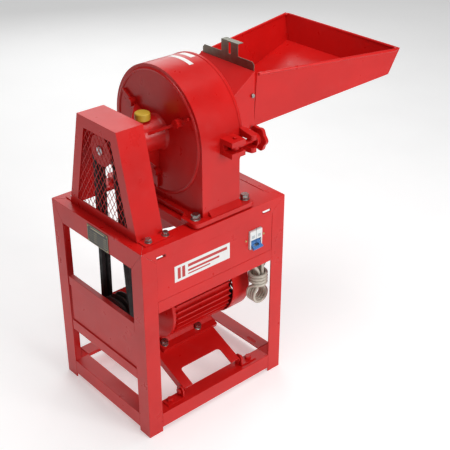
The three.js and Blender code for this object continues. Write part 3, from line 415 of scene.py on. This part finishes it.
# ---- CAD nodes that stay: rounded edges and a finish -------------------------------------
def keep(node, material, width, segments=2):
    """A carried-over CAD node with flat faces merged, edges rounded and a finish."""
    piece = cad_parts[node]
    if not piece.material_slots:
        piece.data.materials.append(material)
    for entry in piece.material_slots:
        entry.material = material
    if "custom_normal" in piece.data.attributes:
        piece.data.attributes.remove(piece.data.attributes["custom_normal"])
    piece.data.polygons.foreach_set("use_smooth", [True] * len(piece.data.polygons))
    weld = piece.modifiers.new("joined_faces", "WELD")
    weld.merge_threshold = 0.000002
    merge = piece.modifiers.new("flat_faces", "DECIMATE")
    merge.decimate_type = "DISSOLVE"
    merge.angle_limit = math.radians(0.4)
    edge_round(piece, width, segments)


for corner in ("front_left", "front_right", "back_left", "back_right"):
    keep("leg_" + corner, SHEET_RED, 1.1, 3)
for side in ("front", "back", "left", "right"):
    keep("top_rail_" + side, SHEET_RED, 0.7)
    keep("bottom_rail_" + side, SHEET_RED, 1.0, 3)
SHEET_NODES = (
    ("apron_panel", 0.5),
    ("apron_lower_rail", 0.5),
    ("side_cover_panel", 0.5),
    ("mill_cross_rail", 0.9),
    ("deck_sheet", 0.5),
    ("feed_chute", 0.6),
    ("belt_guard", 0.7),
    ("hinge_bracket_left", 0.8),
    ("hinge_bracket_right", 0.8),
    ("motor_plate", 0.8),
    ("terminal_box", 2.0),
    ("discharge_spout", 0.5),
    ("fan_cowl", 0.6),
)
for node, width in SHEET_NODES:
    keep(node, SHEET_RED, width)
CAST_NODES = (
    ("mill_housing", 2.0),
    ("front_cover", 1.4),
    ("bearing_cap", 1.2),
    ("eye_bolt", 0.8),
    ("hand_nut", 2.2),
    ("motor_frame", 0.5),
    ("motor_end_shield", 1.2),
)
for node, width in CAST_NODES:
    keep(node, CAST_RED, width, 3)
SMALL_NODES = (
    ("mill_shaft", STEEL, 0.6),
    ("bearing_outer", STEEL, 0.6),
    ("bearing_inner", STEEL, 0.6),
    ("rotor", STEEL, 0.7),
    ("sieve_ring", STEEL, 0.2),
    ("cover_hinge_pin", STEEL, 0.8),
    ("motor_rotor", STEEL, 0.6),
    ("clamp_pin", CAST_RED, 0.6),
    ("clamp_washer", CAST_RED, 0.5),
    ("hinge_pin_left", CAST_RED, 0.8),
    ("hinge_pin_right", CAST_RED, 0.8),
    ("slide_gate", GALVANISED, 0.4),
    ("oil_cap", YELLOW, 0.7),
    ("breaker_body", WHITE, 0.7),
    ("breaker_toggle", BLUE, 0.7),
    ("switch_box", BLACK, 0.8),
    ("cord_gland", BLACK, 0.5),
    ("mains_plug", BLACK, 1.0),
    ("cooling_fan", BLACK, 0.6),
)
for node, material, width in SMALL_NODES:
    keep(node, material, width)


# ---- cord --------------------------------------------------------------------------------
CORD = {"radius": 3.5, "exit": (348, 15, 339), "plug": (300.9, 68, 345)}
# The hank: its middle, its ends, the radius of its folds, half a strand's width and its front
HANK = {"x": 350, "top": 335.1, "low": 201.5, "fold": 21, "strand": 3.5, "front": 18.5}


def cord_route():
    """Down into the hank, three long loops, four wraps round its waist, then to the plug."""
    fold, strand = HANK["fold"], HANK["strand"]
    top_centre, low_centre = HANK["top"] - fold, HANK["low"] + fold
    lean = math.degrees(math.acos(1 - (fold - strand) / (2 * fold)))

    def waist(sign, downwards):
        upper = arc(0, top_centre, fold, 0, -lean, 5)
        drop = 2 * fold * math.sin(math.radians(lean))
        bent = arc(fold + strand, top_centre - drop, fold, 180 - lean, 180, 5)[1:]
        lower = [(x, top_centre + low_centre - z) for x, z in reversed(upper + bent)]
        run = [(sign * x, z) for x, z in upper + bent + lower]
        return run if downwards else run[::-1]

    bottom = arc(0, low_centre, fold, 0, -180, 10)[1:-1]
    top = arc(0, top_centre, fold, 180, 0, 10)[1:-1]
    turn = waist(1, True) + bottom + waist(-1, False) + top
    first = len(waist(1, True)) // 2
    loops = (turn * 4)[first : first + 3 * len(turn) + len(waist(1, True)) - first] + bottom
    layer = 2 * strand + 0.1
    route = [CORD["exit"], (348.3, 15.2, 330), (350, 15.8, 315), (352, 17, 300), (353.2, 18, 288)]
    for i, (x, z) in enumerate(loops):
        route.append((HANK["x"] + x, HANK["front"] + layer * i / len(turn), z))
    centre_y = HANK["front"] + 1.5 * layer
    back = route[-1][1]
    route += [(329, back, 226), (328.6, back - 2, 238), (328.8, back - 8, 247)]
    per_wrap = 16
    for i in range(4 * per_wrap - 3):
        angle = math.radians(190 + 360 * i / per_wrap)
        rise = 253 + 8 * i / per_wrap
        route.append((HANK["x"] + fold * math.cos(angle), centre_y + fold * math.sin(angle), rise))
    route += [(336, 52.6, 291), (327, 54.5, 297), (321, 57, 308), (318, 60, 322), (312, 65, 336)]
    route += [(307, 67.9, 344.7), CORD["plug"]]
    return route


def softened(route, step, passes):
    """Points an even step apart along the route, with its kinks eased."""
    spots = [Vector(p) for p in route]
    even = [spots[0]]
    for spot in spots[1:]:
        while (spot - even[-1]).length > step:
            even.append(even[-1] + (spot - even[-1]).normalized() * step)
    even.append(spots[-1])
    for _ in range(passes):
        inner = [(a + 2 * b + c) / 4 for a, b, c in zip(even, even[1:], even[2:])]
        even = [even[0]] + inner + [even[-1]]
    return even


def make_cord():
    spots = softened(cord_route(), 2.5, 14)
    data = bpy.data.curves.new("mains_cord", "CURVE")
    data.dimensions = "3D"
    data.bevel_depth = CORD["radius"] / 1000
    data.bevel_resolution = 4
    data.use_fill_caps = True
    spline = data.splines.new("POLY")
    spline.points.add(len(spots) - 1)
    for point, spot in zip(spline.points, spots):
        point.co = (*at(*spot), 1)
    spline.use_smooth = True
    data.materials.append(CORD_GREY)
    cord = bpy.data.objects.new("mains_cord", data)
    bpy.context.scene.collection.objects.link(cord)
    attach(cord, "stand")
    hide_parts("cord_hank", "power_cord")


make_cord()


# ---- hopper ------------------------------------------------------------------------------
def make_hopper():
    """Sheet tray with folded walls, a saddle under the chute and a rolled wire rim."""
    body, slot = "cover", "enamel"
    near, far = low("hopper_tray"), high("hopper_tray")
    centre = (near.y + far.y) / 2
    start, floor_end, rim_end, sheet = 376.4, 725, 735, 1.8
    rim_z = far.z - 0.8
    # Place along X, half width and height of each pair of corners
    corners = {
        "floor_start": (start, 84, 622),
        "floor_end": (floor_end, 167, 681),
        "rim_start": (start, 92, rim_z),
        "rim_end": (rim_end, 186, rim_z),
    }

    def corner(name, side):
        x, half, z = corners[name]
        return Vector((x, centre + side * half, z))

    points, faces = [], []

    def wall(quad, outwards):
        """One sheet wall from its four outer corners, its thickness on the inside."""
        outer = [corner(*key) for key in quad]
        normal = (outer[1] - outer[0]).cross(outer[2] - outer[0]).normalized()
        if normal.dot(Vector(outwards)) < 0:
            normal = -normal
        base = len(points)
        points.extend(tuple(p) for p in outer + [p - normal * sheet for p in outer])
        faces.extend([[base + i for i in (0, 1, 2, 3)], [base + i for i in (7, 6, 5, 4)]])
        for i in range(4):
            j = (i + 1) % 4
            faces.append([base + i, base + j, base + 4 + j, base + 4 + i])

    for side in (-1, 1):
        loop = ("floor_start", "floor_end", "rim_end", "rim_start")
        wall([(key, side) for key in loop], (0, side, 0))
    wall([("floor_start", -1), ("floor_end", -1), ("floor_end", 1), ("floor_start", 1)], (0, 0, -1))
    wall([("floor_end", -1), ("rim_end", -1), ("rim_end", 1), ("floor_end", 1)], (1, 0, 0))
    tray = from_points("hopper_sheet", points, faces, SHEET_RED, body)
    edge_round(tray, 0.6)
    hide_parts("hopper_tray")
    saddle = slab(
        "hopper_saddle",
        "y",
        [(616.6, 350), (620.6, 384), (623.9, 384), (622.6, 377), (621, 375.9), (618.3, 350)],
        centre - 80,
        centre + 80,
        SHEET_RED,
        body,
    )
    edge_round(saddle, 0.5)
    wire, outside = 3.4, 1.8
    drop = 0.6 - wire
    rim = []
    for side in (-1, 1):
        start_out = Vector((4, side * outside, drop))
        end_out = Vector((-8, side * (outside - 2), drop))
        bend = Vector((outside, -side * 6, drop))
        row = [corner("rim_start", side) + start_out, corner("rim_end", side) + end_out]
        rim.append(row + [corner("rim_end", side) + bend])
    path = rim[0] + rim[1][::-1]
    round_bar("hopper_rim", softened(path, 6, 3), wire, SHEET_RED, body, 16)


make_hopper()


# ---- pulleys and belts ---------------------------------------------------------------------
BELT = {"top": 12.6, "foot": 8.2, "thick": 8, "proud": 0.8}


def belt_centres():
    """Places of the two belts along the shafts."""
    return [middle(name).x for name in ("belt_outer", "belt_inner")]


def make_pulley(name, node, body, material):
    """Cast pulley with two V grooves, rounded lips, a hub and turned recesses."""
    near, far, centre = low(node), high(node), middle(node)
    radius = (far.z - near.z) / 2
    bore = 12.2 if radius > 50 else 9.7
    depth = 11
    lip = []
    for x in belt_centres():
        top, foot = BELT["top"] / 2 + 0.5, BELT["foot"] / 2 + 0.2
        lip += [(radius, x - top - 0.8), (radius - 0.8, x - top), (radius - depth, x - foot)]
        lip += [(radius - depth, x + foot), (radius - 0.8, x + top), (radius, x + top + 0.8)]
    rim = radius - depth - 6
    hub = bore + 9
    face = [(hub, near.x + 0.4), (hub + 2, near.x + 6), (rim - 2, near.x + 6), (rim, near.x + 0.6)]
    rear = [(rim, far.x - 0.6), (rim - 2, far.x - 6), (hub + 2, far.x - 6), (hub, far.x - 0.4)]
    if rim - hub < 6:
        face, rear = [], []
    outline = [(bore, near.x + 0.8), (bore + 1, near.x)] + face
    outline += [(radius - 1.2, near.x), (radius, near.x + 1.2)] + lip
    outline += [(radius, far.x - 1.2), (radius - 1.2, far.x)] + rear
    outline += [(bore + 1, far.x), (bore, far.x - 0.8)]
    pulley = turned(
        name, "x", (0, centre.y, centre.z), outline, material, body, 72, closed=True, degrees=24
    )
    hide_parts(node)


def make_belts():
    """Two V belts round both pulleys; their lower part wraps the pulley of the tilted motor."""
    mill, motor = middle("mill_pulley"), middle("motor_pulley")
    small = (high("mill_pulley").z - low("mill_pulley").z) / 2 + BELT["proud"]
    large = (high("motor_pulley").z - low("motor_pulley").z) / 2 + BELT["proud"]
    dy, dz = mill.y - motor.y, mill.z - motor.z
    span = math.hypot(dy, dz)
    lean = math.degrees(math.atan2(dz, dy))
    flare = math.degrees(math.acos((large - small) / span))
    upper = arc(0, 0, 1, lean - flare, lean + flare, 40)
    lower = arc(0, 0, 1, lean + flare, lean + 360 - flare, 48)
    half, foot, thick = BELT["top"] / 2, BELT["foot"] / 2, BELT["thick"]
    shoulder = [(half - 0.5, 0), (half, -0.5), (half, -1.6), (foot, 0.4 - thick), (foot - 0.4, -thick)]
    section = [(-a, b) for a, b in shoulder[:2][::-1]] + shoulder
    section += [(-a, b) for a, b in shoulder[2:][::-1]]

    def round_wheel(x, wheel, radius, normals):
        return [((x, wheel.y + radius * ny, wheel.z + radius * nz), (ny, nz)) for ny, nz in normals]

    def straight_run(first, last, steps=12):
        """Points between the ends of two arcs, which are left out."""
        (start, normal), (end, _) = first, last
        ends = (Vector(start), Vector(end))
        return [(tuple(ends[0].lerp(ends[1], i / steps)), normal) for i in range(1, steps)]

    for name, x in zip(("belt_outer", "belt_inner"), belt_centres()):
        top_arc = round_wheel(x, mill, small, upper)
        foot_arc = round_wheel(x, motor, large, lower)
        down = straight_run(top_arc[-1], foot_arc[0])
        up = straight_run(foot_arc[-1], top_arc[0])
        loop = top_arc + down + foot_arc + up
        frames = [(Vector(p), Vector((1, 0, 0)), Vector((0, *normal))) for p, normal in loop]
        belt = swept("v_" + name, frames, section, RUBBER, None, closed=True, degrees=20)
        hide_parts(name)
        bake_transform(belt)


make_pulley("mill_v_pulley", "mill_pulley", "mill_rotor", CAST_RED)
make_pulley("motor_v_pulley", "motor_pulley", "motor_rotor", IRON)
make_belts()


# ---- guard mesh ------------------------------------------------------------------------------
def make_guard_mesh():
    """Expanded diamond mesh behind the window of the belt guard."""
    near, far = low("guard_mesh"), high("guard_mesh")
    centre = (near.y + far.y) / 2
    # Size of a diamond, half the width of a strand, and how far a side leans in as it rises
    cell_y, cell_z, wire, lean = 14.6, 21.5, 0.55, 53.5 / 225.7
    half_low = (far.y - near.y) / 2

    def half(z):
        return half_low - lean * (z - near.z)

    points, faces = [], []

    def strip(a, b):
        """A thin flat bar between two (y, z) points, cut to the window."""
        steps = [i / 40 for i in range(41)]
        inside = [t for t in steps if fits(a, b, t)]
        if len(inside) < 2:
            return
        start = [a[i] + (b[i] - a[i]) * inside[0] for i in (0, 1)]
        end = [a[i] + (b[i] - a[i]) * inside[-1] for i in (0, 1)]
        along_y, along_z = end[0] - start[0], end[1] - start[1]
        size = math.hypot(along_y, along_z)
        side = (-along_z / size * wire, along_y / size * wire)
        base = len(points)
        for x in (near.x + 0.1, far.x - 0.1):
            for spot, sign in ((start, 1), (end, 1), (end, -1), (start, -1)):
                points.append((x, spot[0] + sign * side[0], spot[1] + sign * side[1]))
        faces.extend([[base + v for v in f] for f in ((0, 1, 2, 3), (7, 6, 5, 4))])
        for i in range(4):
            j = (i + 1) % 4
            faces.append([base + i, base + j, base + 4 + j, base + 4 + i])

    def fits(a, b, t):
        y, z = a[0] + (b[0] - a[0]) * t, a[1] + (b[1] - a[1]) * t
        return near.z < z < far.z and abs(y - centre) < half(z) - 0.5

    rise = far.z - near.z + 2 * cell_z
    reach = rise * cell_y / cell_z
    count = int((2 * half_low + reach) / cell_y) + 2
    for i in range(-count, count + 1):
        base_y = centre + i * cell_y
        for sign in (-1, 1):
            strip((base_y, near.z - cell_z), (base_y + sign * reach, near.z - cell_z + rise))
    mesh = from_points("diamond_mesh", points, faces, SHEET_RED, "stand")
    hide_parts("guard_mesh")


make_guard_mesh()


# ---- fasteners -------------------------------------------------------------------------------
# The motor plate's hinge line and tilt, its two faces above that line, and the motor's foot
PLATE = {"hinge_y": 22, "hinge_z": 66, "tilt": 23, "bottom": 6, "top": 9.4, "foot": 11}


def make_fasteners():
    """Base, guard and bracket bolts, chute screws and the rotor's nut."""
    pad_top = 490
    for i, (x, y) in enumerate([(163, 26), (302, 26), (163, 303), (302, 303)]):
        place, turn = (x, y, pad_top), 14 + 11 * i
        hex_bolt(f"base_bolt_{i + 1}", "z", place, 17, ZINC, "stand", washer=11, spin=turn)
    guard_top = high("top_rail_left").z + 2.3
    for i, (x, y) in enumerate([(41, 30), (85, 30), (41, 299), (85, 299)]):
        place, turn = (x, y, guard_top), 5 + 17 * i
        hex_bolt(f"guard_bolt_{i + 1}", "z", place, 12, ZINC, "stand", washer=8.5, spin=turn)
    bracket_top = high("bottom_rail_front").z + 3.3
    for side, x in (("left", 76), ("right", 315)):
        place = (x, PLATE["hinge_y"], bracket_top)
        hex_bolt(f"bracket_bolt_{side}", "z", place, 13, SHEET_RED, "stand", spin=20)
    for i, z in enumerate((697, 622.5)):
        for side, y, way in (("near", low("feed_chute").y, -1), ("far", high("feed_chute").y, 1)):
            name = f"chute_bolt_{side}_{i + 1}"
            hex_bolt(name, "y", (367.4, y, z), 9, ZINC, "cover", way=way, tall=0.45)
    shaft = middle("mill_shaft")
    place = (215.4, shaft.y, shaft.z)
    hex_bolt("rotor_nut", "x", place, 36, ZINC, "mill_rotor", washer=22, tall=0.3)


def make_motor_bolts():
    """Foot bolts and their nuts, built upright and leaned with the plate, and the tension nuts."""
    tilt = Matrix.Rotation(math.radians(PLATE["tilt"]), 4, "X")
    pivot = Matrix.Translation(at(0, PLATE["hinge_y"], PLATE["hinge_z"]))
    lean = pivot @ tilt @ pivot.inverted()
    foot_top = PLATE["top"] + PLATE["foot"]
    for i, (x, reach) in enumerate([(138, 113.4), (238, 113.4), (138, 253.4), (238, 253.4)]):
        for kind, above, way, turn in (
            ("bolt", foot_top, 1, 9 + 13 * i),
            ("bolt_nut", PLATE["bottom"], -1, -31),
        ):
            place = (x, PLATE["hinge_y"] + reach, PLATE["hinge_z"] + above)
            fastener = hex_bolt(
                f"motor_{kind}_{i + 1}", "z", place, 15, ZINC, "motor_mount", way, 9.6, spin=turn
            )
            fastener.data.transform(lean)
    rod = middle("tension_rod")
    plate_line = high("tension_rod").z - 45
    for side, rise, way in (("upper", 14, 1), ("lower", 3, -1)):
        place = (rod.x, rod.y, plate_line + rise)
        hex_bolt(f"tension_nut_{side}", "z", place, 14, ZINC, "motor_mount", way, 8.5, spin=20)


make_fasteners()
make_motor_bolts()


# ---- labels: plain blocks and lines, no lettering ----------------------------------------------
def flat_blocks(name, axis, blocks, start, end, material):
    """Thin rectangles on the face of a label of the stand."""
    points, faces = [], []
    for a0, b0, a1, b1 in blocks:
        base = len(points)
        for c in (start, end):
            points += [along(axis, *pair, c) for pair in ((a0, b0), (a1, b0), (a1, b1), (a0, b1))]
        faces += [[base + v for v in f] for f in ((3, 2, 1, 0), (4, 5, 6, 7))]
        faces += [[base + i, base + (i + 1) % 4, base + 4 + (i + 1) % 4, base + 4 + i] for i in range(4)]
    from_points(name, points, faces, material, "stand")


def make_nameplate():
    """Black plate with a raised gold frame, ruled lines and four drive screws."""
    y0, y1, z0, z1 = 114, 190.6, 429.5, 472
    plate = slab("nameplate", "x", rounded(y0, z0, y1, z1, 2.5), -0.9, -0.3, PLATE_BLACK, "stand")
    edge_round(plate, 0.2)
    margin, line = 1.0, 0.8
    a0, b0, a1, b1 = y0 + margin, z0 + margin, y1 - margin, z1 - margin
    bars = [
        (a0, b0, a1, b0 + line),
        (a0, b1 - line, a1, b1),
        (a0, b0 + line, a0 + line, b1 - line),
        (a1 - line, b0 + line, a1, b1 - line),
        (y0 + 14, z1 - 7.2, y1 - 14, z1 - 5.2),
    ]
    for row in range(5):
        z = z1 - 14.5 - row * 5.2
        bars += [(y0 + 6, z, y0 + 18, z + 0.9), (y0 + 21, z - 0.3, y0 + 36, z)]
        bars += [(y0 + 40, z, y0 + 53, z + 0.9), (y0 + 56, z - 0.3, y1 - 6, z)]
    flat_blocks("nameplate_marks", "x", bars, -0.98, -0.85, PLATE_GOLD)
    inset = 4
    dome = [(0, -2.1), (0.9, -1.9), (1.7, -1.3), (2, -0.85), (0, -0.85)]
    places = [(y, z) for z in (z0 + inset, z1 - inset) for y in (y0 + inset, y1 - inset)]
    for i, (y, z) in enumerate(places):
        turned(f"nameplate_screw_{i + 1}", "x", (0, y, z), dome, BRASS, "stand", 20)


def make_apron_label():
    """White sticker with plain red bars."""
    x0, x1, z0, z1 = 83, 236, 377, 416
    outline = [(z0, x0), (z0, x1), (z1, x1), (z1, x0)]
    slab("apron_label", "y", outline, 0.15, 0.55, LABEL_WHITE, "stand")
    bars = [(z0 + 6, x0 + 8, z1 - 6, x0 + 16), (z0 + 6, x0 + 20, z1 - 6, x0 + 28)]
    bars += [(z1 - 14, x0 + 36, z1 - 7, x1 - 8), (z0 + 14, x0 + 36, z0 + 19, x1 - 30)]
    bars += [(z0 + 7, x0 + 36, z0 + 10, x1 - 56)]
    flat_blocks("apron_label_bars", "y", bars, 0.08, 0.3, LABEL_RED)


def make_drum_sticker(name, x0, x1, first, last):
    """Thin sticker wrapped over the top of the drum, between two angles."""
    radius = 146.8
    spindle = middle("mill_shaft")
    count = 10
    section = [(x0, -0.3), (x1, -0.3), (x1, 0), (x0, 0)]
    spine = []
    for i in range(count + 1):
        angle = math.radians(first + (last - first) * i / count)
        outward = Vector((0, -math.cos(angle), math.sin(angle)))
        spine.append((Vector((0, spindle.y, spindle.z)) + outward * radius, Vector((1, 0, 0)), outward))
    swept(name, spine, section, LABEL_WHITE, "stand")


def make_breaker_details():
    """Two modules split by a joint, a grey window in each, and the fixing screws."""
    near, far = low("breaker_body"), high("breaker_body")
    face, centre = near.y, (near.x + far.x) / 2
    foot, top = near.z + 1, far.z - 1
    left, right = centre - 0.3, centre + 0.3
    joint = [(foot, left), (foot, right), (top, right), (top, left)]
    inside = face + 0.4
    slab("breaker_joint", "y", joint, face - 0.12, inside, BLACK, "stand")
    for i, x in enumerate((centre - 9, centre + 9)):
        name, window = f"breaker_window_{i + 1}", rounded(402, x - 4.5, 409, x + 4.5, 0.8, 3)
        slab(name, "y", window, face - 0.15, inside, LABEL_GREY, "stand")
    panel = low("apron_panel").y
    dome = [(0, -1.9), (1.2, -1.7), (2.3, -1.1), (2.8, 0), (2.8, 0.3), (0, 0.3)]
    for i, x in enumerate((near.x - 8.5, far.x + 8.5)):
        spot = [(r, panel + w) for r, w in dome]
        turned(f"breaker_screw_{i + 1}", "y", (x, 0, 400), spot, BRASS, "stand", 20)


make_nameplate()
make_apron_label()
make_drum_sticker("drum_sticker_1", 238, 249, 104, 76)
make_drum_sticker("drum_sticker_2", 262, 275, 102, 86)
make_breaker_details()


# ---- floor, light and world ------------------------------------------------------------------
def make_floor():
    mesh = bpy.data.meshes.new("floor")
    z = ORIGIN.z
    reach = 6.0
    corners = [(-reach, -reach, z), (reach, -reach, z), (reach, reach, z), (-reach, reach, z)]
    mesh.from_pydata(corners, [], [[0, 1, 2, 3]])
    floor = bpy.data.objects.new("floor", mesh)
    bpy.context.scene.collection.objects.link(floor)
    n = Nodes("pale_floor")
    tone = n.ramp(n.noise(3, 3), [(0.3, (0.8, 0.8, 0.8)), (0.7, (0.84, 0.84, 0.84))])
    n.shader.inputs["Emission Color"].default_value = (1, 1, 1, 1)
    n.shader.inputs["Emission Strength"].default_value = 0.36
    mesh.materials.append(n.done(colour=tone, roughness=n.spread(n.noise(30, 3), 0.55, 0.7)))


def area_light(name, place, aim, size, power):
    data = bpy.data.lights.new(name, "AREA")
    data.shape = "RECTANGLE"
    data.size, data.size_y = size
    data.energy = power
    lamp = bpy.data.objects.new(name, data)
    bpy.context.scene.collection.objects.link(lamp)
    spot, target = at(*place), at(*aim)
    turn = (target - spot).to_track_quat("-Z", "Y").to_matrix()
    lamp.matrix_world = Matrix.Translation(spot) @ turn.to_4x4()


def make_light():
    world = bpy.data.worlds.new("studio")
    bpy.context.scene.world = world
    world.use_nodes = True
    background = world.node_tree.nodes["Background"]
    background.inputs["Color"].default_value = (1, 1, 1, 1)
    background.inputs["Strength"].default_value = 0.19
    aim = (300, 160, 400)
    area_light("key_light", (600, -2100, 1500), aim, (1.1, 1.1), 31)
    area_light("top_light", (400, 0, 2700), aim, (1.5, 1.5), 31)
    area_light("side_light", (-2200, 500, 900), aim, (1.2, 1.2), 2)
    area_light("back_light", (1500, 2300, 1500), aim, (1.8, 1.8), 16)
    view = bpy.context.scene.view_settings
    view.view_transform = "Standard"
    view.look = "None"


make_floor()
make_light()
